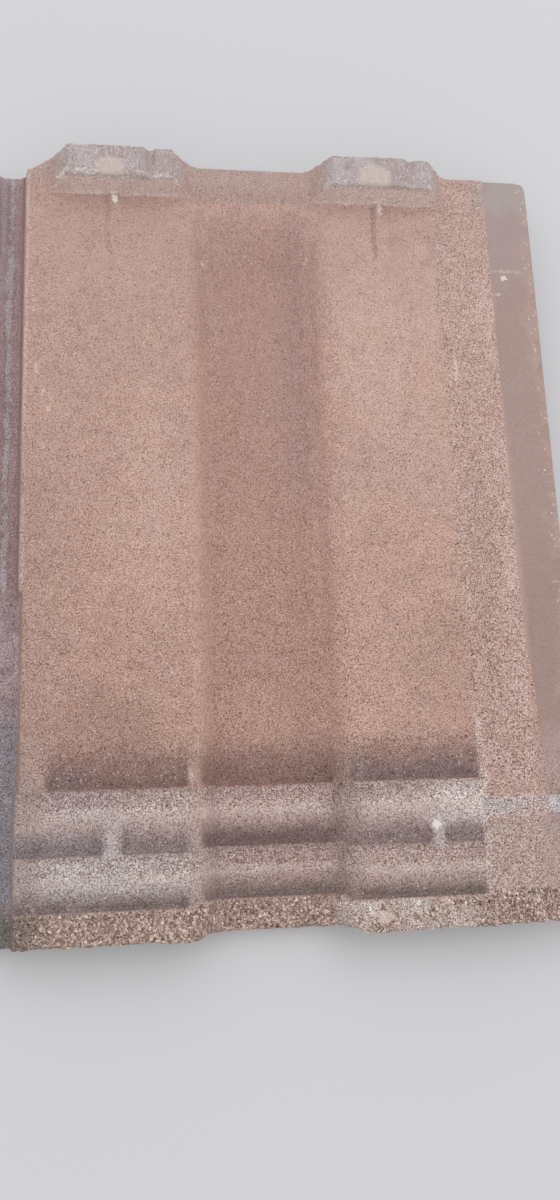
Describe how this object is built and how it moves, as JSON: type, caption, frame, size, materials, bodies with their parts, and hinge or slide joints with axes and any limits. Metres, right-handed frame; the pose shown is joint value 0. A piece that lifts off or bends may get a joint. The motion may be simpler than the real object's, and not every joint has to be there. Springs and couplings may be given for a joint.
{
  "type": "interlocking concrete roof tile",
  "caption": "Interlocking concrete roof tile, face down: nibs at the head, a hollow middle roll, an underlock, an overlock and weather bars across the tail.",
  "frame": {"origin": "middle of the box, on the level the tile lies on face down", "axes": "+X across the tile towards the underlock, +Y up the tile towards the head and its nibs, +Z out of the soffit"},
  "size_m": [0.33, 0.42, 0.047],
  "materials": {
    "concrete": "sandy cast concrete, through-coloured terracotta brown, matt and weathered"
  },
  "bodies": {
    "root": {"roof_tile": "concrete"}
  },
  "joints": []
}
